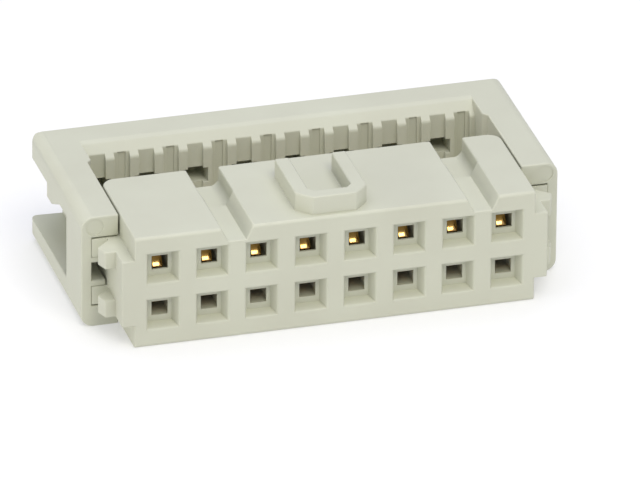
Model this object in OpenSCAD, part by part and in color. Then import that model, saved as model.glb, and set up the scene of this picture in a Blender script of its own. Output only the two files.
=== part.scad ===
// Ribbon-cable socket connector: a moulded housing with two rows of stamped
// contacts, and a moulded U-shaped cover that slides on to press the cable home.
// The cover is drawn open, one stroke away from closed. Millimetres.

/* [Contact grid] */
// Number of ways, shared by the two rows
ways = 16; // [14:2:40]
// Spacing of the contacts along a row, and of the two rows
pitch = 2.54; // [2.5:0.01:2.9]
// Side of the square pins that plug in
pin_side = 0.64; // [0.5:0.01:0.68]

/* [Housing] */
// Depth from the mating face to the back
housing_d = 6.75; // [6.6:0.05:8]
// Height across both rows
housing_h = 6.1; // [5.9:0.05:7]
// Wall beyond the outermost contact cell
end_margin = 0.19; // [0.1:0.01:0.6]
// Radius of the upright corners at the back
rear_corner_r = 0.7; // [0.3:0.05:1.2]
// Bevel round the mating face
face_bevel = 0.12; // [0.05:0.01:0.25]
// How far the wire rest stands off the back
wire_rest = 0.35; // [0.1:0.05:0.6]
// Height of the wire rest
wire_rest_h = 3.4; // [3:0.1:4.4]

/* [Sockets] */
// Side of the square funnel at the mating face
funnel_side = 1.64; // [1.5:0.02:1.9]
// How far each upright side of the funnel leans in
funnel_taper_w = 0.21; // [0.05:0.01:0.3]
// How far its floor and roof lean in
funnel_taper_h = 0.12; // [0.05:0.01:0.3]
// Depth of the funnel
funnel_d = 0.68; // [0.4:0.02:0.9]
// Length of the pin hole behind the funnel, the thickness of its rim
hole_len = 0.12; // [0.1:0.01:0.3]
// Room beside a pin in its hole, both sides together
pin_play_w = 0.2; // [0.1:0.01:0.3]
// Room above and below a pin in its hole, together
pin_play_h = 0.12; // [0.06:0.01:0.3]
// Width of the chamber that a contact's leaf moves in
chamber_w = 1; // [0.9:0.02:1.2]
// Room for the leaf to bend away from the pin, measured from the row
leaf_room = 0.95; // [0.8:0.01:1]

/* [Key] */
// Width of the polarising key
key_w = 3.7; // [3:0.1:4]
// Height of the key over the housing
key_h = 1; // [0.6:0.05:1.5]
// Length of the key
key_len = 4.6; // [3:0.1:5.5]
// Distance of the key from the mating face
key_front = 0.3; // [0.2:0.05:1]
// Wall of the key round its open pocket
key_wall = 0.75; // [0.5:0.05:1]
// Bevel of the key's front corners
key_bevel = 0.72; // [0.3:0.01:0.9]
// Bevel of the pocket's front corners
key_pocket_bevel = 0.3; // [0.1:0.05:0.4]

/* [Notches] */
// Contact cells between the left end and the left notch
left_cells = 2; // [1:1:2]
// Contact cells between the right end and the right notch
right_cells = 1; // [1:1:2]
// Width of a notch at the top
notch_w = 1.64; // [1.3:0.02:1.9]
// Width of a notch's floor at the mating face
notch_floor_w = 0.92; // [0.6:0.02:1.2]
// Depth of a notch at the mating face
notch_front_depth = 0.75; // [0.4:0.05:0.9]
// Depth of a notch at the back
notch_rear_depth = 1.08; // [0.95:0.01:1.2]
// Distance from the mating face to the deeper stretch
notch_step = 3.95; // [2:0.05:5]
// Radius along the floor of the deeper stretch
notch_round = 0.4; // [0.1:0.05:0.5]

/* [End rails] */
// How far a rail stands out of the housing's end
rail_w = 0.65; // [0.4:0.05:0.9]
// Height of a rail
rail_h = 3.64; // [3.2:0.02:3.8]
// How far a rail stops short of the housing's back
rail_setback = 0.55; // [0.4:0.05:2]
// How far the crest of a latch bump stands out of its rail
bump_w = 0.75; // [0.6:0.05:0.8]
// How far the front of a latch bump stands out of its rail
bump_front_w = 0.52; // [0.3:0.02:0.56]
// Height of a latch bump
bump_h = 0.95; // [0.6:0.05:1.1]
// Distance of the latch bumps from the mating face
bump_front = 1.28; // [1:0.02:1.5]
// Distance from a bump's front to its crest
bump_crest = 0.64; // [0.3:0.02:0.7]
// Length of the ramp behind the crest
bump_ramp = 0.7; // [0.3:0.05:0.7]
// Length of the guide behind each bump, which fills the mouth of the open cover's leg
guide_len = 0.35; // [0.2:0.05:0.45]

/* [Cover] */
// Stroke from open to closed
stroke = 2.5; // [2.3:0.05:3]
// Distance from the mating face to the legs of the closed cover
leg_setback = 0.35; // [0.2:0.05:0.8]
// Gap that the closed cover leaves between the wire rest and the bar's ribs
clamp_gap = 0.65; // [0.5:0.05:0.8]
// Depth of the pressing bar
bar_d = 2.6; // [2.2:0.05:3]
// Lead-in bevel of the bar for the cable
lead_in = 0.75; // [0.4:0.05:1]
// Sliding clearance round the housing
slide_gap = 0.08; // [0.05:0.01:0.15]
// Clearance of the legs' channels round the latch bumps
bump_gap = 0.05; // [0.03:0.01:0.1]
// Step inside each leg, from the housing's side to the bar's end
end_step = 0.23; // [0.2:0.01:0.4]
// Radius of the cover's long outer edges
cover_edge_r = 0.65; // [0.3:0.05:0.9]
// Radius of the cover's upright corners at the back
cover_corner_r = 0.35; // [0.2:0.05:1]
// Bevel of the outer back edges
cover_back_bevel = 0.15; // [0.05:0.01:0.3]

/* [Cover legs] */
// Thickness of a leg's outer web
web_t = 0.55; // [0.4:0.01:0.9]
// Height of the sight slot between the latch bumps
sight_h = 1; // [0.6:0.05:1.1]
// Length of a leg ahead of its clip slot
leg_solid = 2.96; // [2.8:0.02:3.2]
// Height of the clip slot in a leg's outer side
clip_slot_h = 3.4; // [3:0.05:3.6]
// Thickness of the end wall behind the clip slot
end_wall_t = 0.52; // [0.4:0.02:0.8]
// Height of the clip tooth
tooth_h = 0.75; // [0.4:0.05:1]
// Length of the tooth's flat
tooth_flat = 0.9; // [0.5:0.05:1.2]
// Length of the tooth's ramp
tooth_ramp = 1.6; // [1:0.05:1.8]
// Distance from the cover's back to the tooth
tooth_back = 3.18; // [2.6:0.02:3.4]
// Distance of the ejector-pin mark from a leg's outer side
mark_inset = 0.7; // [0.6:0.02:1.2]
// Diameter of the ejector-pin mark on each leg
mark_dia = 0.9; // [0.5:0.05:1]
// Depth of that mark
mark_depth = 0.04; // [0.03:0.01:0.12]

/* [Wires] */
// Width of the wire grooves in the bar
groove_w = 0.8; // [0.7:0.02:0.9]
// Depth of the wire grooves
groove_depth = 0.23; // [0.15:0.01:0.35]
// Width of the relief in a groove's floor, opposite its fork pocket
relief_w = 0.42; // [0.3:0.02:0.6]
// Depth of the relief under that floor
relief_d = 0.1; // [0.05:0.01:0.2]
// Room beyond the fork tips in their pockets
pocket_room = 1.05; // [0.1:0.05:1.2]
// Room round a fork in its pocket, on each side
pocket_gap = 0.1; // [0.08:0.01:0.14]
// Height of a fork pocket
pocket_h = 0.8; // [0.6:0.05:1]

/* [Contacts] */
// Thickness of the contact strip
strip_t = 0.25; // [0.2:0.01:0.3]
// Distance from a row to the middle of its contact plates, inwards
plate_drop = 0.47; // [0.44:0.01:0.52]
// Width of the contact leaf
leaf_w = 0.52; // [0.4:0.02:0.66]
// Gap between the front wall and the leaf's tip
tip_gap = 0.25; // [0.05:0.01:0.3]
// Length of the leaf's ramp along the stroke
leaf_ramp = 0.38; // [0.3:0.01:0.6]
// Rise of the leaf's apex over its plate
leaf_rise = 0.51; // [0.4:0.01:0.54]
// Radius of the bend at the apex, along the strip's middle
leaf_bend_r = 0.3; // [0.2:0.01:0.35]
// Length of the leaf from its tip to its root
leaf_len = 2.53; // [2:0.01:2.8]
// Length of the narrow neck between the leaf and the plate
neck_len = 0.5; // [0.3:0.05:0.8]
// Width of the fork
fork_w = 1.1; // [0.9:0.02:1.2]
// Width of the fork's slot
fork_slot = 0.25; // [0.18:0.01:0.36]
// How far the fork reaches beyond the wire rest
fork_reach = 1.2; // [1:0.05:1.25]
// Length of the fork's pointed tips
fork_tip = 0.35; // [0.2:0.05:0.45]

/* [Hidden] */
$fn = 64;
over = 1;
columns = ways / 2;
wire_pitch = pitch / 2;
row_z = pitch / 2;
grid_half = columns * pitch / 2;
// Housing
half_w = grid_half + end_margin;
half_h = housing_h / 2;
rest_y = housing_d + wire_rest;
lip_x = half_w + slide_gap;
wall_x = lip_x - end_step;
rest_half = wall_x - 2 * slide_gap;
rail_x = half_w + rail_w;
bump_x = rail_x + bump_w;
rail_len = housing_d - rail_setback;
throat_w = funnel_side - 2 * funnel_taper_w;
throat_h = funnel_side - 2 * funnel_taper_h;
front_wall = funnel_d + hole_len;
hole_w = pin_side + pin_play_w;
hole_h = pin_side + pin_play_h;
plate_z = row_z - plate_drop;
plate_low = plate_z - strip_t / 2;
chamber_top = row_z + hole_h / 2;
leaf_passage = plate_z + leaf_rise + strip_t / 2;
left_notch_x = -(columns / 2 - left_cells) * pitch;
right_notch_x = (columns / 2 - right_cells) * pitch;
// Contacts
fork_x = -wire_pitch / 2;
plate_left = fork_x - fork_w / 2;
plate_right = chamber_w / 2;
fork_end = rest_y + fork_reach;
leaf_tip = front_wall + tip_gap + strip_t / 2;
leaf_root = leaf_tip + leaf_len;
shoulder = leaf_root + neck_len;
// Cover
leg_front = leg_setback + stroke;
rib_y = rest_y + clamp_gap + stroke;
overall_d = rib_y + bar_d;
pocket_d = fork_reach - clamp_gap + pocket_room;
rail_channel_x = rail_x + slide_gap;
channel_x = bump_x + bump_gap;
outer_x = channel_x + web_t;
channel_half = rail_h / 2 + slide_gap;
channel_low = rail_h / 2 - bump_h - bump_gap;
corner_x = max(0, wall_x - (half_w - rear_corner_r));
corner_y = housing_d - rear_corner_r + sqrt(rear_corner_r * rear_corner_r - corner_x * corner_x);
wall_y = corner_y + stroke + slide_gap;
channel_end = rail_len + stroke + slide_gap;
clip_slot_y = leg_front + leg_solid;
clip_x = wall_x + end_wall_t;
guide_end = min(leg_front + guide_len, clip_slot_y - stroke - slide_gap);
tooth_y = overall_d - tooth_back;

function contact_name(k) = str("contact_", k < 10 ? "0" : "", k);

// Sets the part on its underside, with the origin under the middle of its box
module place() {
    translate([0, -overall_d / 2, half_h]) children();
}

// Carries a depth-height outline across the part
module across(width) {
    rotate([90, 0, 90]) linear_extrude(width, center = true) children();
}

// Carries a width-height outline from one depth to another
module backwards(from, to) {
    translate([0, to, 0]) rotate([90, 0, 0]) linear_extrude(to - from) children();
}

// A box between two corners
module block(low, high) {
    translate(low) cube(high - low);
}

// The same shape at both ends
module both_ends() {
    for (side = [0, 1]) mirror([side, 0, 0]) children();
}

// The same shape above and below the middle
module above_and_below() {
    for (side = [0, 1]) mirror([0, 0, side]) children();
}

// Sets a shape, drawn for one contact of the upper row, at way k; the lower row is turned half round
module at_way(k) {
    column = floor((k - 1) / 2);
    upper = k % 2 == 1;
    x = (column + 0.5) * pitch - grid_half;
    rotate([0, upper ? 0 : 180, 0]) translate([upper ? x : -x, 0, 0]) children();
}

// A rectangle between two corners
module field(low, high) {
    translate(low) square(high - low);
}

// Plan of a block whose two corners at the back are round
module round_back_plan(half, front, back, r) {
    field([-half, front], [half, back - r]);
    field([-half + r, front], [half - r, back]);
    for (side = [-1, 1]) translate([side * (half - r), back - r]) circle(r);
}

// Plan of a block whose two corners at the front are bevelled
module bevelled_plan(half, front, back, bevel) {
    polygon([
        [bevel - half, front], [half - bevel, front], [half, front + bevel],
        [half, back], [-half, back], [-half, front + bevel]
    ]);
}

// Housing without its hollows
module housing_block() {
    intersection() {
        linear_extrude(housing_h, center = true)
            round_back_plan(half_w, 0, housing_d, rear_corner_r);
        across(2 * half_w + over) polygon([
            [0, face_bevel - half_h], [face_bevel, -half_h], [housing_d, -half_h],
            [housing_d, half_h], [face_bevel, half_h], [0, half_h - face_bevel]
        ]);
    }
    block([-rest_half, housing_d - over, -wire_rest_h / 2], [rest_half, rest_y, wire_rest_h / 2]);
}

// Guide rail with its two latch bumps, and the guide behind each bump that fills the mouth of the leg
module rail() {
    crest_y = bump_front + bump_crest;
    bump_low = rail_h / 2 - bump_h;
    block([half_w - over, 0, -rail_h / 2], [rail_x, rail_len, rail_h / 2]);
    above_and_below() {
        translate([0, 0, bump_low]) linear_extrude(bump_h) polygon([
            [half_w, bump_front], [rail_x + bump_front_w, bump_front], [bump_x, crest_y],
            [rail_x, crest_y + bump_ramp], [half_w, crest_y + bump_ramp]
        ]);
        block([half_w, guide_end - guide_len, bump_low], [bump_x, guide_end, rail_h / 2]);
    }
}

// Polarising key, a U that is open to the top and the back
module key() {
    back = key_front + key_len;
    translate([0, 0, half_h - key_wall]) linear_extrude(key_wall + key_h) difference() {
        bevelled_plan(key_w / 2, key_front, back, key_bevel);
        bevelled_plan(key_w / 2 - key_wall, key_front + key_wall, back + over, key_pocket_bevel);
    }
}

// Notch from front to back in the top of the housing
module notch() {
    top = half_h + over;
    front_floor = half_h - notch_front_depth;
    rear_floor = half_h - notch_rear_depth;
    backwards(-over, notch_step) polygon([
        [-notch_w / 2, top], [-notch_w / 2, half_h], [-notch_floor_w / 2, front_floor],
        [notch_floor_w / 2, front_floor], [notch_w / 2, half_h], [notch_w / 2, top]
    ]);
    backwards(notch_step, housing_d + over) mirror([0, 1])
        round_back_plan(notch_w / 2, -top, -rear_floor, notch_round);
}

// Outline of the funnel in one of its two directions
module funnel_outline(mouth, throat) {
    polygon([
        [-over, -mouth / 2], [0, -mouth / 2], [funnel_d, -throat / 2],
        [funnel_d, throat / 2], [0, mouth / 2], [-over, mouth / 2]
    ]);
}

// Funnel, pin hole, leaf chamber and plate slot of one contact in the upper row
module socket() {
    translate([0, 0, row_z]) {
        intersection() {
            across(pitch) funnel_outline(funnel_side, throat_h);
            linear_extrude(pitch, center = true) rotate(90) mirror([0, 1])
                funnel_outline(funnel_side, throat_w);
        }
        block([-hole_w / 2, 0, -hole_h / 2], [hole_w / 2, front_wall + over, hole_h / 2]);
    }
    block([-chamber_w / 2, front_wall, row_z - leaf_room], [chamber_w / 2, shoulder, chamber_top]);
    block([-chamber_w / 2, front_wall, plate_low], [chamber_w / 2, rest_y + over, leaf_passage]);
    block([plate_left, shoulder, plate_low], [plate_right, rest_y + over, plate_low + strip_t]);
}

module housing() {
    color([0.8, 0.8, 0.73]) place() difference() {
        union() {
            housing_block();
            both_ends() rail();
            key();
        }
        for (x = [left_notch_x, right_notch_x]) translate([x, 0, 0]) notch();
        for (k = [1:ways]) at_way(k) socket();
    }
}

// Cover without its hollows
module cover_block() {
    intersection() {
        linear_extrude(housing_h, center = true)
            round_back_plan(outer_x, leg_front, overall_d, cover_corner_r);
        backwards(leg_front, overall_d) {
            field([-outer_x, cover_edge_r - half_h], [outer_x, half_h - cover_edge_r]);
            field([cover_edge_r - outer_x, -half_h], [outer_x - cover_edge_r, half_h]);
            for (x = [-1, 1]) for (z = [-1, 1])
                translate([x * (outer_x - cover_edge_r), z * (half_h - cover_edge_r)])
                    circle(cover_edge_r);
        }
        across(2 * outer_x + over) polygon([
            [leg_front, -half_h], [overall_d - cover_back_bevel, -half_h],
            [overall_d, cover_back_bevel - half_h], [overall_d, half_h - cover_back_bevel],
            [overall_d - cover_back_bevel, half_h], [leg_front, half_h]
        ]);
    }
}

// Space between the legs, which takes the housing and the cable
module cover_mouth() {
    linear_extrude(housing_h + over, center = true) polygon([
        [-lip_x, leg_front - over], [lip_x, leg_front - over], [lip_x, wall_y - end_step],
        [wall_x, wall_y], [wall_x, rib_y], [-wall_x, rib_y], [-wall_x, wall_y],
        [-lip_x, wall_y - end_step]
    ]);
    above_and_below() across(2 * wall_x) polygon([
        [rib_y - over, half_h - lead_in - over], [rib_y + lead_in + over, half_h + over],
        [rib_y - over, half_h + over]
    ]);
}

// Hollows of the leg on the right: rail channel, bump channels, sight slot, clip slot and ejector mark
module leg_hollows() {
    mark_z = (half_h + channel_half) / 2;
    mark_x = outer_x - mark_inset;
    block([lip_x - over, leg_front - over, -channel_half], [rail_channel_x, channel_end, channel_half]);
    above_and_below()
        block([lip_x - over, leg_front - over, channel_low], [channel_x, clip_slot_y, channel_half]);
    block([lip_x, leg_front - over, -sight_h / 2], [channel_x, clip_slot_y, sight_h / 2]);
    difference() {
        block([clip_x, clip_slot_y, -clip_slot_h / 2], [outer_x + over, overall_d + over, clip_slot_h / 2]);
        translate([rail_channel_x + outer_x, 0, 0]) across(2 * outer_x) polygon([
            [tooth_y - tooth_flat - tooth_ramp, clip_slot_h / 2],
            [tooth_y - tooth_flat, clip_slot_h / 2 - tooth_h], [tooth_y, clip_slot_h / 2 - tooth_h],
            [tooth_y, half_h], [tooth_y - tooth_flat - tooth_ramp, half_h]
        ]);
    }
    translate([mark_x, leg_front + mark_depth, mark_z]) rotate([90, 0, 0]) cylinder(d = mark_dia, h = over);
}

// Groove of one wire, its relief and the pocket of its fork
module wire_place() {
    translate([fork_x, 0, 0]) {
        block([-groove_w / 2, rib_y - over, -half_h - over],
              [groove_w / 2, rib_y + groove_depth, half_h + over]);
        block([-relief_w / 2, rib_y - over, -half_h - over],
              [relief_w / 2, rib_y + groove_depth + relief_d, 0]);
        block([-fork_w / 2 - pocket_gap, rib_y - over, plate_z - pocket_h / 2],
              [fork_w / 2 + pocket_gap, rib_y + pocket_d, plate_z + pocket_h / 2]);
    }
}

module cover() {
    color([0.79, 0.79, 0.72]) place() difference() {
        cover_block();
        cover_mouth();
        both_ends() leg_hollows();
        for (k = [1:ways]) at_way(k) wire_place();
    }
}

// Side view of the leaf: from its round tip up the ramp, round the bend and down to its root in the plate
module leaf_outline() {
    fall_run = leaf_len - leaf_ramp;
    rise_angle = atan2(leaf_rise, leaf_ramp);
    fall_angle = atan2(leaf_rise, fall_run);
    bend_len = leaf_bend_r * tan((rise_angle + fall_angle) / 2);
    ramp_len = norm([leaf_ramp, leaf_rise]) - bend_len;
    fall_len = norm([fall_run, leaf_rise]) - bend_len;
    outer_r = leaf_bend_r + strip_t / 2;
    inner_r = leaf_bend_r - strip_t / 2;
    tip = [leaf_tip, plate_z];
    root = [leaf_root, plate_z];
    bend_start = tip + ramp_len * [cos(rise_angle), sin(rise_angle)];
    translate(bend_start + leaf_bend_r * [sin(rise_angle), -cos(rise_angle)]) difference() {
        union() {
            rotate(rise_angle) field([-ramp_len, 0], [0, outer_r]);
            rotate(-fall_angle) field([0, 0], [fall_len, outer_r]);
            intersection() {
                circle(outer_r);
                field([-outer_r, 0], [outer_r, outer_r]);
            }
        }
        rotate(rise_angle) field([-ramp_len - over, -over], [0, inner_r]);
        rotate(-fall_angle) field([0, -over], [fall_len + over, inner_r]);
        circle(inner_r);
    }
    field(root - [0, strip_t / 2], [shoulder + strip_t, plate_z + strip_t / 2]);
    for (end = [tip, root]) translate(end) circle(d = strip_t);
}

// Plan of the plate and of the slotted fork that cuts into a wire
module fork_plan() {
    shoulder_right = leaf_w / 2;
    waist = rest_y - strip_t;
    field([plate_left, shoulder], [shoulder_right, waist]);
    difference() {
        translate([fork_x, 0]) polygon([
            [-fork_w / 2, waist - strip_t], [fork_w / 2, waist - strip_t],
            [fork_w / 2, fork_end - fork_tip], [fork_w / 4, fork_end],
            [-fork_w / 4, fork_end], [-fork_w / 2, fork_end - fork_tip]
        ]);
        translate([fork_x, 0]) {
            field([-fork_slot / 2, rest_y + fork_slot / 2], [fork_slot / 2, fork_end + over]);
            translate([0, rest_y + fork_slot / 2]) circle(d = fork_slot);
            polygon([
                [0, fork_end - fork_tip - fork_slot], [fork_w / 4, fork_end], [-fork_w / 4, fork_end]
            ]);
        }
    }
}

// Stamped contact of way k
module contact(k) {
    color([0.83, 0.66, 0.3]) place() at_way(k) {
        across(leaf_w) leaf_outline();
        translate([0, 0, plate_low]) linear_extrude(strip_t) fork_plan();
    }
}

housing();
cover();
for (k = [1:ways]) contact(k);
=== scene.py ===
import math

import bmesh
import bpy
import numpy as np
from bpy.props import FloatProperty, FloatVectorProperty, IntProperty, PointerProperty
from mathutils import Matrix, Vector


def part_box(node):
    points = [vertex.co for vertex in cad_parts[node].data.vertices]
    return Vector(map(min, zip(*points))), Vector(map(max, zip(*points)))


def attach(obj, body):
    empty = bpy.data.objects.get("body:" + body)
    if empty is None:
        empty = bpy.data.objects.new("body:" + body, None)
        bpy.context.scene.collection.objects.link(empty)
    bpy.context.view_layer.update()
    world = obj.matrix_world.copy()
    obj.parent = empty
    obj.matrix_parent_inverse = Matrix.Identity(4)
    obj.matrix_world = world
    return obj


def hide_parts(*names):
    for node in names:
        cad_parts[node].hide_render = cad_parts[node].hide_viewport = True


bl_info = {
    "name": "Ribbon cable socket looks",
    "version": (1, 0, 0),
    "blender": (4, 5, 0),
    "location": "View3D > Sidebar > Socket",
    "description": "Dresses the packed ribbon cable socket: moulded plastic, plated contacts and a studio",
    "category": "Object",
}

MM = 0.001
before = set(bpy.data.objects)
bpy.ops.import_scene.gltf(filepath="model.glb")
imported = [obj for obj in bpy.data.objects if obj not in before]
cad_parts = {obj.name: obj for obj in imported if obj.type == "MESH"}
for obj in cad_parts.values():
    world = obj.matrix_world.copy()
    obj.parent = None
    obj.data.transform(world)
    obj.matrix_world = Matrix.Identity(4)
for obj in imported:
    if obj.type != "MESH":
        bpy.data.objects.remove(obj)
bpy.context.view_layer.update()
HOUSING_LOW = np.array(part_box("housing")[0])
COVER_LOW, COVER_HIGH = (np.array(corner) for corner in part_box("cover"))
CONTACTS = sorted(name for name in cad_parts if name.startswith("contact_"))
MIDDLE_Z = COVER_HIGH[2] / 2

# Housing: pin grid, field of the funnels, rails, latch bumps and the guides behind them
PITCH, COLUMNS = 2.54 * MM, 8
BODY_HALF = COLUMNS / 2 * PITCH + 0.19 * MM
FUNNEL_FIELD = 2.2 * MM
RAIL_X, BUMP_X, BUMP_LOW = 11.0 * MM, 11.75 * MM, 0.87 * MM
BUMP_CREST = 1.92 * MM
GUIDE_FRONT, GUIDE_BACK = HOUSING_LOW[1] + 2.85 * MM, HOUSING_LOW[1] + 3.2 * MM

# Cover: legs with their ejector marks, bar with the wire grooves and the reliefs in them
LIP_X = BODY_HALF + 0.08 * MM
LEG_CORNER = 0.65 * MM
MARK_X, MARK_Z = 11.65 * MM, 2.475 * MM
MARK_REACH, MARK_DEEP = 0.47 * MM, 0.1 * MM
BAR_HALF, BAR_DEEP, BAR_SOLID = 10.19 * MM, 2.6 * MM, 1.0 * MM
GROOVE_Y, GROOVE_TOP = COVER_HIGH[1] - BAR_DEEP + 0.23 * MM, 2.53 * MM
RELIEF_DEEP, RELIEF_END = 0.1 * MM, 0.08 * MM

# Contacts: faces across each rounded edge of the strip
STRIP_STEPS = 2

# Distances up to which a place counts as another: a feature's, a line's, a corner's and a cut's
NEAR, IN_LINE, MERGED, CUT = 0.02 * MM, 0.001 * MM, 0.0005 * MM, 0.0001 * MM

# Bends: up to FLAT two faces are one, from SHARP an edge is rounded, from STEPPED what is left is a crease,
# and from SQUARE an edge belongs to no bevel
FLAT, SHARP, STEPPED, SQUARE = (math.radians(bend) for bend in (0.1, 25.0, 40.0, 60.0))

# Shares of the room beside an edge that its round may take, and the cosine from which two edges run one way
SHARE, OUTLINE_SHARE = 0.45, 0.85
ONE_WAY = 0.7

# Soft boxes, each a place and a size, and the point that they face
TOP_BOX = (0.0, 0.03, 0.35), (0.4, 0.4)
FRONT_BOX = (0.018, -0.205, 0.283), (0.2, 0.17)
LEFT_BOX = (-0.33, -0.029, 0.06), (0.35, 0.11)
LIGHT_AIM = (0.0, 0.0, 3 * MM)
FLOOR_HALF, FLOOR_STEPS, FLOOR_DRIFT = 3.0, 12, 0.985


class SocketPlastic(bpy.types.PropertyGroup):
    """Finish of the two moulded pieces."""

    pale: FloatVectorProperty(
        name="Pale tone", description="Lighter tone of the moulded plastic",
        subtype="COLOR", size=3, min=0.0, max=1.0, default=(0.59, 0.60, 0.49),
    )
    deep: FloatVectorProperty(
        name="Deep tone", description="Darker tone that the plastic drifts to in soft patches",
        subtype="COLOR", size=3, min=0.0, max=1.0, default=(0.56, 0.565, 0.46),
    )
    housing_round: FloatProperty(
        name="Housing edges", description="Round along the housing's square outer edges",
        subtype="DISTANCE", unit="LENGTH", min=0.0, max=0.3 * MM, default=0.1 * MM,
    )
    bevel_round: FloatProperty(
        name="Bevel edges", description="Round along both sides of the bevels that the mouldings have",
        subtype="DISTANCE", unit="LENGTH", min=0.0, max=0.08 * MM, default=0.06 * MM,
    )
    funnel_round: FloatProperty(
        name="Funnel rims", description="Round along the rims of the pin funnels",
        subtype="DISTANCE", unit="LENGTH", min=0.0, max=0.2 * MM, default=0.11 * MM,
    )
    rail_round: FloatProperty(
        name="Rail edges", description="Round along the end rails and their latch bumps",
        subtype="DISTANCE", unit="LENGTH", min=0.0, max=0.2 * MM, default=0.07 * MM,
    )
    fine_round: FloatProperty(
        name="Fine edges", description="Round along ribs, grooves and guides",
        subtype="DISTANCE", unit="LENGTH", min=0.0, max=0.05 * MM, default=0.02 * MM,
    )
    cover_round: FloatProperty(
        name="Cover edges", description="Round along the cover's square edges",
        subtype="DISTANCE", unit="LENGTH", min=0.0, max=0.2 * MM, default=0.08 * MM,
    )
    leg_round: FloatProperty(
        name="Leg fronts", description="Round along the outer edges of the legs' front faces",
        subtype="DISTANCE", unit="LENGTH", min=0.0, max=0.3 * MM, default=0.09 * MM,
    )
    guide_fill: FloatProperty(
        name="Guide fill",
        description="Width that the guides behind the latch bumps gain on the gap round them",
        subtype="DISTANCE", unit="LENGTH", min=0.0, max=0.048 * MM, default=0.046 * MM,
    )
    lead_round: FloatProperty(
        name="Lead-in edges", description="Round where the cover's top turns into the lead-in bevel",
        subtype="DISTANCE", unit="LENGTH", min=0.0, max=0.3 * MM, default=0.25 * MM,
    )
    crest_round: FloatProperty(
        name="Rib crests", description="Round where the lead-in bevel turns down into the ribs",
        subtype="DISTANCE", unit="LENGTH", min=0.0, max=0.3 * MM, default=0.12 * MM,
    )
    round_steps: IntProperty(
        name="Round steps", description="Faces across each rounded edge", min=1, max=6, default=3,
    )
    grain: FloatProperty(
        name="Grain", description="Size of the spark-eroded grain that the mould leaves",
        subtype="DISTANCE", unit="LENGTH", min=0.01 * MM, max=0.5 * MM, default=0.06 * MM,
    )


class SocketPlating(bpy.types.PropertyGroup):
    """Finish of the stamped contacts."""

    gold: FloatVectorProperty(
        name="Gold", description="Colour of the plating",
        subtype="COLOR", size=3, min=0.0, max=1.0, default=(0.88, 0.56, 0.22),
    )
    worn: FloatVectorProperty(
        name="Thin gold", description="Colour where the plating is thin",
        subtype="COLOR", size=3, min=0.0, max=1.0, default=(0.72, 0.42, 0.13),
    )
    edge_round: FloatProperty(
        name="Strip edges", description="Round that stamping leaves along the strip",
        subtype="DISTANCE", unit="LENGTH", min=0.0, max=0.1 * MM, default=0.025 * MM,
    )


class SocketStage(bpy.types.PropertyGroup):
    """Floor, light and camera."""

    floor: FloatVectorProperty(
        name="Floor", description="Colour of the floor",
        subtype="COLOR", size=3, min=0.0, max=1.0, default=(0.6, 0.6, 0.6),
    )
    glow: FloatProperty(
        name="Floor glow", description="Light that the floor gives by itself, as a light table does",
        min=0.0, max=2.0, default=0.36,
    )
    room: FloatProperty(
        name="Room light", description="Strength of the even light all round",
        min=0.0, max=3.0, default=0.50,
    )
    top: FloatProperty(
        name="Top box", description="Power of the soft box overhead",
        unit="POWER", min=0.0, max=20.0, default=0.73,
    )
    front: FloatProperty(
        name="Front box", description="Power of the soft box in front",
        unit="POWER", min=0.0, max=20.0, default=0.53,
    )
    left: FloatProperty(
        name="Left box", description="Power of the soft box on the left",
        unit="POWER", min=0.0, max=20.0, default=0.29,
    )
    cool: FloatVectorProperty(
        name="Cool light", description="Colour of the room and the soft box overhead",
        subtype="COLOR", size=3, min=0.0, max=1.0, default=(0.85, 0.865, 0.965),
    )
    warm: FloatVectorProperty(
        name="Warm light", description="Colour of the soft boxes in front and on the left",
        subtype="COLOR", size=3, min=0.0, max=1.0, default=(1.0, 0.965, 0.83),
    )
    azimuth: FloatProperty(
        name="Azimuth", description="Direction of the camera round the socket",
        subtype="ANGLE", unit="ROTATION", default=math.radians(-15.961),
    )
    elevation: FloatProperty(
        name="Elevation", description="Height of the camera over the horizon",
        subtype="ANGLE", unit="ROTATION", default=math.radians(27.116),
    )
    roll: FloatProperty(
        name="Roll", description="Turn of the camera about its line of sight",
        subtype="ANGLE", unit="ROTATION", default=math.radians(0.570),
    )
    distance: FloatProperty(
        name="Distance", description="Distance of the camera from the point it looks at",
        subtype="DISTANCE", unit="LENGTH", min=0.05, max=5.0, default=611.989 * MM,
    )
    lens: FloatProperty(
        name="Lens", description="Focal length in millimetres on a 36 mm sensor",
        min=20.0, max=1500.0, default=686.556,
    )
    target: FloatVectorProperty(
        name="Target", description="Point that the camera looks at",
        subtype="TRANSLATION", unit="LENGTH", size=3, default=(0.597 * MM, -1.425 * MM, 2.17 * MM),
    )


def array_of(collection, key, width, kind):
    """One attribute of a mesh collection as an array with a row for each entry."""
    values = np.empty(len(collection) * width, kind)
    collection.foreach_get(key, values)
    return values.reshape(-1, width) if width > 1 else values


def cut_seams(mesh, cuts):
    """Cuts a mesh along planes, each given as an axis, a place on it and a y, and marks the edges that lie
    in a plane at its y."""
    shell = bmesh.new()
    shell.from_mesh(mesh)
    bmesh.ops.remove_doubles(shell, verts=shell.verts, dist=MERGED)
    for axis, place, _ in cuts:
        square = Vector(np.eye(3)[axis])
        whole = shell.verts[:] + shell.edges[:] + shell.faces[:]
        bmesh.ops.bisect_plane(shell, geom=whole, dist=CUT, plane_co=place * square, plane_no=square)
    shell.to_mesh(mesh)
    shell.free()
    ends = array_of(mesh.vertices, "co", 3, np.float32)[array_of(mesh.edges, "vertices", 2, np.int32)]
    seams = np.zeros(len(mesh.edges), bool)
    for axis, place, y in cuts:
        in_plane = abs(ends[:, :, axis] - place) < IN_LINE
        seams |= (in_plane & (abs(ends[:, :, 1] - y) < NEAR)).all(1)
    mesh.edges.foreach_set("use_seam", seams)


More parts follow.
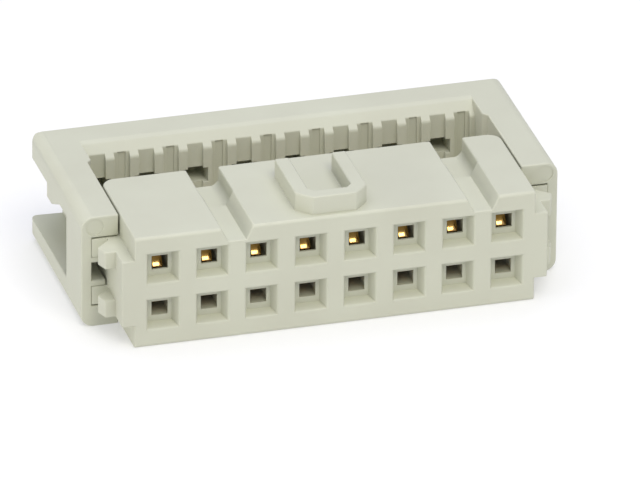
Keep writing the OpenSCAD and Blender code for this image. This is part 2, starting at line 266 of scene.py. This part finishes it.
def merged_copy(node, name, cuts=()):
    """A new piece from a CAD node, without the normals that came with it. Its loose triangles are joined at
    their corners, it is cut along planes, and what lies flat becomes one face again, apart from the marked
    edges of the cuts. Those keep the faces of a front free of holes, which no face of a mesh can have, or
    mark a line that a later step needs."""
    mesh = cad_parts[node].data.copy()
    mesh.name = name
    mesh.materials.clear()
    if "custom_normal" in mesh.attributes:
        mesh.attributes.remove(mesh.attributes["custom_normal"])
    cut_seams(mesh, cuts)
    shell = bmesh.new()
    shell.from_mesh(mesh)
    bmesh.ops.dissolve_limit(
        shell, angle_limit=FLAT, verts=shell.verts, edges=shell.edges, delimit={"SEAM"},
    )
    shell.to_mesh(mesh)
    shell.free()
    piece = bpy.data.objects.new(name, mesh)
    bpy.context.scene.collection.objects.link(piece)
    return piece


def widen_guides(mesh, by):
    """Moves the outer and the inner faces of the guides behind the latch bumps outwards, so that only a
    hairline of the gap round them shows."""
    points = array_of(mesh.vertices, "co", 3, np.float32)
    across, height = abs(points[:, 0]), points[:, 2] - MIDDLE_Z
    guide = (points[:, 1] > GUIDE_FRONT - NEAR) & (points[:, 1] < GUIDE_BACK + NEAR)
    guide &= across > RAIL_X - NEAR
    points[:, 0] += by * np.sign(points[:, 0]) * (guide & (across > BUMP_X - NEAR))
    points[:, 2] -= by * np.sign(height) * (guide & (abs(height) < BUMP_LOW + NEAR))
    mesh.vertices.foreach_set("co", points.ravel())


def lower_reliefs(mesh):
    """Brings the tops of the reliefs in the wire grooves down to the tops of the grooves, so that the lead-in
    bevel ends level above both."""
    points = array_of(mesh.vertices, "co", 3, np.float32)
    height = points[:, 2] - MIDDLE_Z
    top = np.hypot(points[:, 1] - GROOVE_Y - RELIEF_DEEP, abs(height) - GROOVE_TOP - RELIEF_DEEP) < NEAR
    points[:, 1] -= RELIEF_DEEP * top
    points[:, 2] -= RELIEF_DEEP * top * np.sign(height)
    mesh.vertices.foreach_set("co", points.ravel())
    shell = bmesh.new()
    shell.from_mesh(mesh)
    bmesh.ops.remove_doubles(shell, verts=shell.verts, dist=MERGED)
    shell.to_mesh(mesh)
    shell.free()


def edge_facts(mesh):
    """Middle, bend and side of every edge of a closed mesh, as whole arrays. The bend is the angle
    between the normals n1 and n2 of its two faces. With d the edge's direction round its first face, the
    second face leads away from the edge along n2 x (-d), and the edge stands out where that runs behind
    the first face, so that its product with n1 is below nought."""
    ends = array_of(mesh.edges, "vertices", 2, np.int32)
    points = array_of(mesh.vertices, "co", 3, np.float32).astype(float)
    normals = array_of(mesh.polygons, "normal", 3, np.float32).astype(float)
    sides = array_of(mesh.polygons, "loop_total", 1, np.int32)
    loop_edge = array_of(mesh.loops, "edge_index", 1, np.int32)
    loop_start = array_of(mesh.loops, "vertex_index", 1, np.int32)
    if len(loop_edge) != 2 * len(ends) or (np.bincount(loop_edge) != 2).any():
        raise RuntimeError(f"{mesh.name} isn't closed, so its edges can't be rounded")
    face = np.repeat(np.arange(len(sides)), sides)
    order = np.argsort(loop_edge, kind="stable")
    first, second = order[0::2], order[1::2]
    run = points[ends[:, 1]] - points[ends[:, 0]]
    along = np.where((loop_start[first] == ends[:, 0])[:, None], run, -run)
    n1, n2 = normals[face[first]], normals[face[second]]
    bend = np.arccos(np.clip((n1 * n2).sum(1), -1.0, 1.0))
    out = (np.cross(n2, -along) * n1).sum(1) < 0
    return points[ends].mean(1), bend, out


def edge_room(mesh):
    """Room for a round along every edge, as one array: the least distance from the edge's line to another
    corner of its two faces. Corners on the line don't count, nor those that lie further beyond the edge's
    ends than beside it. Edges that leave such a corner along the line have no more room than the edge."""
    ends = array_of(mesh.edges, "vertices", 2, np.int32)
    points = array_of(mesh.vertices, "co", 3, np.float32).astype(float)
    sides = array_of(mesh.polygons, "loop_total", 1, np.int32)
    loop_edge = array_of(mesh.loops, "edge_index", 1, np.int32)
    loop_start = array_of(mesh.loops, "vertex_index", 1, np.int32)
    count = np.repeat(sides, sides)
    first = np.repeat(np.repeat(np.cumsum(sides) - sides, sides), count)
    step = np.arange(count.sum()) - np.repeat(np.cumsum(count) - count, count)
    corner = points[loop_start[first + step]]
    edge = np.repeat(loop_edge, count)
    runs = points[ends[:, 1]] - points[ends[:, 0]]
    lengths = np.linalg.norm(runs, axis=1)
    ways = runs / lengths[:, None]
    away = corner - points[ends[edge, 0]]
    along = (away * ways[edge]).sum(1)
    beside = np.linalg.norm(away - ways[edge] * along[:, None], axis=1)
    beyond = np.maximum(np.maximum(-along, along - lengths[edge]), 0.0)
    counts = (beside > IN_LINE) & (beside > beyond)
    room = np.full(len(ends), np.inf)
    np.minimum.at(room, edge[counts], beside[counts])
    for other in (loop_edge[first + step], loop_edge[first + (step - 1) % np.repeat(count, count)]):
        level = counts & (abs((ways[edge] * ways[other]).sum(1)) > ONE_WAY)
        np.minimum.at(room, other[level], beside[level])
    return room


def round_edges(piece, radius, steps, share=SHARE):
    """Rounds the edges of a piece to the radius that the array gives for each, nought for none, or to no
    more than a share of the room that an edge has. What stays sharper than a step of a round is marked."""
    mesh = piece.data
    radius = np.minimum(radius, share * edge_room(mesh))
    largest = float(radius.max())
    weights = mesh.attributes.new("bevel_weight_edge", "FLOAT", "EDGE")
    weights.data.foreach_set("value", (radius / largest).astype(np.float32))
    rounds = piece.modifiers.new("Edge rounds", "BEVEL")
    rounds.limit_method = "WEIGHT"
    rounds.offset_type = "OFFSET"
    rounds.width = largest
    rounds.segments = steps
    rounds.use_clamp_overlap = False
    rounded = bpy.data.meshes.new_from_object(piece.evaluated_get(bpy.context.evaluated_depsgraph_get()))
    rounded.polygons.foreach_set("use_smooth", np.ones(len(rounded.polygons), bool))
    rounded.set_sharp_from_angle(angle=STEPPED)
    piece.modifiers.remove(rounds)
    piece.data = rounded
    bpy.data.meshes.remove(mesh)
    rounded.name = piece.name
    flats = piece.modifiers.new("Flat faces stay flat", "WEIGHTED_NORMAL")
    flats.weight = 80
    flats.thresh = 1e-10
    flats.keep_sharp = True


def socket_of(tree, name, kind, out=False, default=None):
    """Adds a named socket to a node group."""
    made = tree.interface.new_socket(name, in_out="OUTPUT" if out else "INPUT", socket_type=kind)
    if default is not None:
        made.default_value = default
    return made


def skin_group():
    """Node group for the skin of a moulding or a stamping. Its outputs are a slow drift from 0 to 1, and a
    grain height from 0 to 1. Both are noises on Object coordinates, the drift's largest waves of the patch
    size, the grain's of the grain size."""
    name = "Skin of a moulding"
    if name in bpy.data.node_groups:
        return bpy.data.node_groups[name]
    tree = bpy.data.node_groups.new(name, "ShaderNodeTree")
    socket_of(tree, "Grains per metre", "NodeSocketFloat", default=16000.0)
    socket_of(tree, "Patches per metre", "NodeSocketFloat", default=250.0)
    socket_of(tree, "Drift", "NodeSocketFloat", out=True)
    socket_of(tree, "Grain", "NodeSocketFloat", out=True)
    nodes, links = tree.nodes, tree.links
    entry, leave = nodes.new("NodeGroupInput"), nodes.new("NodeGroupOutput")
    place = nodes.new("ShaderNodeTexCoord")
    grain = nodes.new("ShaderNodeTexNoise")
    grain.inputs["Detail"].default_value = 2.0
    patch = nodes.new("ShaderNodeTexNoise")
    patch.inputs["Detail"].default_value = 3.0
    spread = nodes.new("ShaderNodeMapRange")
    spread.inputs["From Min"].default_value = 0.3
    spread.inputs["From Max"].default_value = 0.7
    links.new(place.outputs["Object"], grain.inputs["Vector"])
    links.new(place.outputs["Object"], patch.inputs["Vector"])
    links.new(entry.outputs["Grains per metre"], grain.inputs["Scale"])
    links.new(entry.outputs["Patches per metre"], patch.inputs["Scale"])
    links.new(patch.outputs["Fac"], spread.inputs["Value"])
    links.new(spread.outputs["Result"], leave.inputs["Drift"])
    links.new(grain.outputs["Fac"], leave.inputs["Grain"])
    return tree


def mix_colour(tree, low, high):
    """A node that mixes two fixed colours by its factor."""
    node = tree.nodes.new("ShaderNodeMix")
    node.data_type = "RGBA"
    node.inputs["A"].default_value = (*low, 1.0)
    node.inputs["B"].default_value = (*high, 1.0)
    return node


def new_material(name):
    """An empty node material with its shader."""
    material = bpy.data.materials.new(name)
    material.use_nodes = True
    tree = material.node_tree
    return material, tree, tree.nodes["Principled BSDF"]


def skin_node(tree, grains, patches):
    """The skin group in a material, with its grains and its patches per metre."""
    skin = tree.nodes.new("ShaderNodeGroup")
    skin.node_tree = skin_group()
    skin.inputs["Grains per metre"].default_value = grains
    skin.inputs["Patches per metre"].default_value = patches
    return skin


def skinned_material(name, tones, grains, patches, rough, bump):
    """A material whose tone drifts from one colour to another, and whose roughness and bump follow its grain.
    The roughness is given by its least and most, the bump by its strength and distance."""
    material, tree, shader = new_material(name)
    skin = skin_node(tree, grains, patches)
    tone = mix_colour(tree, *tones)
    matt = tree.nodes.new("ShaderNodeMapRange")
    matt.inputs["To Min"].default_value, matt.inputs["To Max"].default_value = rough
    relief = tree.nodes.new("ShaderNodeBump")
    relief.inputs["Strength"].default_value, relief.inputs["Distance"].default_value = bump
    links = tree.links
    links.new(skin.outputs["Drift"], tone.inputs["Factor"])
    links.new(tone.outputs["Result"], shader.inputs["Base Color"])
    links.new(skin.outputs["Grain"], matt.inputs["Value"])
    links.new(matt.outputs["Result"], shader.inputs["Roughness"])
    links.new(skin.outputs["Grain"], relief.inputs["Height"])
    links.new(relief.outputs["Normal"], shader.inputs["Normal"])
    return material, shader


def plastic_material(name, look):
    """Pale moulded plastic: two close tones in soft patches and a fine matt grain."""
    material, shader = skinned_material(
        name, tones=(look.deep, look.pale), grains=1.0 / look.grain, patches=260.0,
        rough=(0.42, 0.62), bump=(0.25, 0.01 * MM),
    )
    shader.inputs["IOR"].default_value = 1.5
    return material


def plating_material(name, look):
    """Gold plating over stamped strip: thin and full gold in patches and a polish with a faint grain."""
    material, shader = skinned_material(
        name, tones=(look.worn, look.gold), grains=22000.0, patches=1400.0,
        rough=(0.05, 0.12), bump=(0.15, 0.004 * MM),
    )
    shader.inputs["Metallic"].default_value = 1.0
    return material


def floor_material(name, look):
    """Pale matt board with a faint drift, lit a little from below."""
    material, tree, shader = new_material(name)
    skin = skin_node(tree, grains=3000.0, patches=12.0)
    tone = mix_colour(tree, [FLOOR_DRIFT * part for part in look.floor], look.floor)
    tree.links.new(skin.outputs["Drift"], tone.inputs["Factor"])
    tree.links.new(tone.outputs["Result"], shader.inputs["Base Color"])
    shader.inputs["Emission Color"].default_value = (1.0, 1.0, 1.0, 1.0)
    shader.inputs["Roughness"].default_value = 0.9
    shader.inputs["Specular IOR Level"].default_value = 0.1
    shader.inputs["Emission Strength"].default_value = look.glow
    return material


class SOCKET_OT_housing(bpy.types.Operator):
    """Makes the moulded housing with its rounded edges"""

    bl_idname = "socket.housing"
    bl_label = "Housing"

    def execute(self, context):
        look = context.scene.socket_plastic
        columns = (np.arange(COLUMNS) - (COLUMNS - 1) / 2) * PITCH
        rows = MIDDLE_Z + np.array([-0.5, 0.5]) * PITCH
        cuts = [(0, x, HOUSING_LOW[1]) for x in columns] + [(2, z, HOUSING_LOW[1]) for z in rows]
        piece = merged_copy("housing", "housing_moulding", cuts)
        widen_guides(piece.data, look.guide_fill)
        middle, bend, out = edge_facts(piece.data)
        across, y, level = abs(middle[:, 0]), middle[:, 1], abs(middle[:, 2] - MIDDLE_Z)
        sharp = (bend > SHARP) & out
        face = y < HOUSING_LOW[1] + NEAR
        field = (level < FUNNEL_FIELD) & (across < BODY_HALF - NEAR)
        rail = across > BODY_HALF + NEAR
        guide = rail & (y > HOUSING_LOW[1] + BUMP_CREST + NEAR)
        radius = np.select(
            [~sharp | (field & ~face), field, guide, rail, bend < SQUARE],
            [0.0, look.funnel_round, look.fine_round, look.rail_round, look.bevel_round],
            look.housing_round,
        )
        round_edges(piece, radius, look.round_steps)
        piece.data.materials.append(plastic_material("Housing plastic", look))
        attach(piece, "socket_body")
        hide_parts("housing")
        return {"FINISHED"}


class SOCKET_OT_cover(bpy.types.Operator):
    """Makes the moulded cover with its rounded edges"""

    bl_idname = "socket.cover"
    bl_label = "Cover"

    def execute(self, context):
        look = context.scene.socket_plastic
        ledge = GROOVE_TOP - RELIEF_END
        cuts = [(0, side * MARK_X, COVER_LOW[1]) for side in (-1, 1)]
        cuts += [(2, MIDDLE_Z + side * ledge, GROOVE_Y + RELIEF_DEEP) for side in (-1, 1)]
        piece = merged_copy("cover", "cover_moulding", cuts)
        lower_reliefs(piece.data)
        middle, bend, out = edge_facts(piece.data)
        across, y, level = abs(middle[:, 0]), middle[:, 1], abs(middle[:, 2] - MIDDLE_Z)
        sharp = (bend > SHARP) & out
        front = y < COVER_LOW[1] + NEAR
        mark = (y < COVER_LOW[1] + MARK_DEEP) & (np.hypot(across - MARK_X, level - MARK_Z) < MARK_REACH)
        ribs = (across < BAR_HALF) & (y > COVER_HIGH[1] - BAR_DEEP - NEAR) & (level < MIDDLE_Z - NEAR)
        edge = (level > MIDDLE_Z - LEG_CORNER) | (across > COVER_HIGH[0] - NEAR)
        outline = front & (across > LIP_X + NEAR) & edge
        rear = (across > COVER_HIGH[0] - LEG_CORNER - NEAR) & (y > COVER_HIGH[1] - LEG_CORNER)
        inside = (across < BAR_HALF) & (y < COVER_HIGH[1] - BAR_SOLID)
        lead = inside & (bend < SQUARE) & (level > MIDDLE_Z - NEAR)
        crest = inside & (bend < SQUARE) & (y < COVER_HIGH[1] - BAR_DEEP + NEAR)
        brow = inside & (np.hypot(y - GROOVE_Y, level - GROOVE_TOP) < NEAR)
        radius = np.select(
            [~sharp | rear | mark, lead, crest, ribs & inside & ~brow, outline, brow | (bend < SQUARE)],
            [0.0, look.lead_round, look.crest_round, look.fine_round, look.leg_round, look.bevel_round],
            look.cover_round,
        )
        round_edges(piece, radius, look.round_steps, np.where(outline, OUTLINE_SHARE, SHARE))
        piece.data.materials.append(plastic_material("Cover plastic", look))
        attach(piece, "cover_body")
        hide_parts("cover")
        return {"FINISHED"}


class SOCKET_OT_contacts(bpy.types.Operator):
    """Makes the stamped contacts with their plating"""

    bl_idname = "socket.contacts"
    bl_label = "Contacts"

    def execute(self, context):
        look = context.scene.socket_plating
        material = plating_material("Contact plating", look)
        for node in CONTACTS:
            piece = merged_copy(node, node + "_plated")
            _, bend, out = edge_facts(piece.data)
            radius = np.where((bend > SHARP) & out, look.edge_round, 0.0)
            round_edges(piece, radius, STRIP_STEPS)
            piece.data.materials.append(material)
            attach(piece, "socket_body")
            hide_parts(node)
        return {"FINISHED"}


def floor_surface(name, half, steps):
    """A level square floor: a grid of points over u and v from -half to half, at height nought."""
    line = np.linspace(-half, half, steps + 1)
    u, v = np.meshgrid(line, line, indexing="ij")
    points = np.stack([u, v, np.zeros_like(u)], axis=-1).reshape(-1, 3)
    index = np.arange((steps + 1) ** 2).reshape(steps + 1, steps + 1)
    faces = np.stack([index[:-1, :-1], index[1:, :-1], index[1:, 1:], index[:-1, 1:]], axis=-1).reshape(-1, 4)
    mesh = bpy.data.meshes.new(name)
    mesh.from_pydata(points.tolist(), [], faces.tolist())
    piece = bpy.data.objects.new(name, mesh)
    bpy.context.scene.collection.objects.link(piece)
    return piece


def soft_box(name, box, power, tint):
    """An area light at a box's place, with its width and height, turned to face the part."""
    place, size = box
    light = bpy.data.lights.new(name, "AREA")
    light.shape = "RECTANGLE"
    light.size, light.size_y = size
    light.energy = power
    light.color = tint
    lamp = bpy.data.objects.new(name, light)
    lamp.location = place
    lamp.rotation_mode = "QUATERNION"
    lamp.rotation_quaternion = (Vector(LIGHT_AIM) - Vector(place)).to_track_quat("-Z", "Y")
    bpy.context.scene.collection.objects.link(lamp)
    return lamp


def photo_camera(look):
    """A camera on a sphere round its target. Its backward direction is given by azimuth and elevation, its
    right-hand direction is level, and both are turned by the roll about the line of sight."""
    a, e, r = look.azimuth, look.elevation, look.roll
    back = Vector((math.sin(a) * math.cos(e), -math.cos(a) * math.cos(e), math.sin(e)))
    right = Vector((math.cos(a), math.sin(a), 0.0))
    up = back.cross(right)
    right, up = math.cos(r) * right + math.sin(r) * up, math.cos(r) * up - math.sin(r) * right
    camera = bpy.data.objects.new("Photo camera", bpy.data.cameras.new("Photo camera"))
    camera.data.sensor_width = 36.0
    camera.data.lens = look.lens
    camera.data.clip_start = 0.01
    camera.data.clip_end = 20.0
    place = Vector(look.target) + back * look.distance
    turn = Matrix((right, up, back)).transposed().to_4x4()
    camera.matrix_world = Matrix.Translation(place) @ turn
    bpy.context.scene.collection.objects.link(camera)
    return camera


class SOCKET_OT_stage(bpy.types.Operator):
    """Makes the floor, the soft light and the camera"""

    bl_idname = "socket.stage"
    bl_label = "Stage"

    def execute(self, context):
        scene = context.scene
        look = scene.socket_stage
        floor = floor_surface("Floor", FLOOR_HALF, FLOOR_STEPS)
        floor.data.materials.append(floor_material("Pale board", look))
        soft_box("Top box", TOP_BOX, look.top, look.cool)
        soft_box("Front box", FRONT_BOX, look.front, look.warm)
        soft_box("Left box", LEFT_BOX, look.left, look.warm)
        world = bpy.data.worlds.new("Studio room")
        world.use_nodes = True
        room = world.node_tree.nodes["Background"]
        room.inputs["Color"].default_value = (*look.cool, 1.0)
        room.inputs["Strength"].default_value = look.room
        scene.world = world
        scene.camera = photo_camera(look)
        scene.view_settings.view_transform = "Standard"
        return {"FINISHED"}


class SOCKET_PT_panel(bpy.types.Panel):
    """Sizes, colours and steps of the socket's looks"""

    bl_label = "Ribbon cable socket"
    bl_idname = "SOCKET_PT_panel"
    bl_space_type = "VIEW_3D"
    bl_region_type = "UI"
    bl_category = "Socket"

    def draw(self, context):
        layout = self.layout
        for title, group in PROPERTY_GROUPS.items():
            box = layout.box()
            box.label(text=title.replace("_", " ").capitalize())
            look = getattr(context.scene, title)
            for key in group.__annotations__:
                box.prop(look, key)
        for operator in OPERATORS:
            layout.operator(operator.bl_idname)


PROPERTY_GROUPS = {
    "socket_plastic": SocketPlastic,
    "socket_plating": SocketPlating,
    "socket_stage": SocketStage,
}
OPERATORS = (SOCKET_OT_stage, SOCKET_OT_housing, SOCKET_OT_cover, SOCKET_OT_contacts)


def register():
    for name, group in PROPERTY_GROUPS.items():
        bpy.utils.register_class(group)
        setattr(bpy.types.Scene, name, PointerProperty(type=group))
    for operator in OPERATORS:
        bpy.utils.register_class(operator)
    bpy.utils.register_class(SOCKET_PT_panel)


def unregister():
    bpy.utils.unregister_class(SOCKET_PT_panel)
    for operator in reversed(OPERATORS):
        bpy.utils.unregister_class(operator)
    for name, group in reversed(PROPERTY_GROUPS.items()):
        delattr(bpy.types.Scene, name)
        bpy.utils.unregister_class(group)


def main():
    register()
    bpy.ops.socket.stage()
    bpy.ops.socket.housing()
    bpy.ops.socket.cover()
    bpy.ops.socket.contacts()


if __name__ == "__main__":
    main()
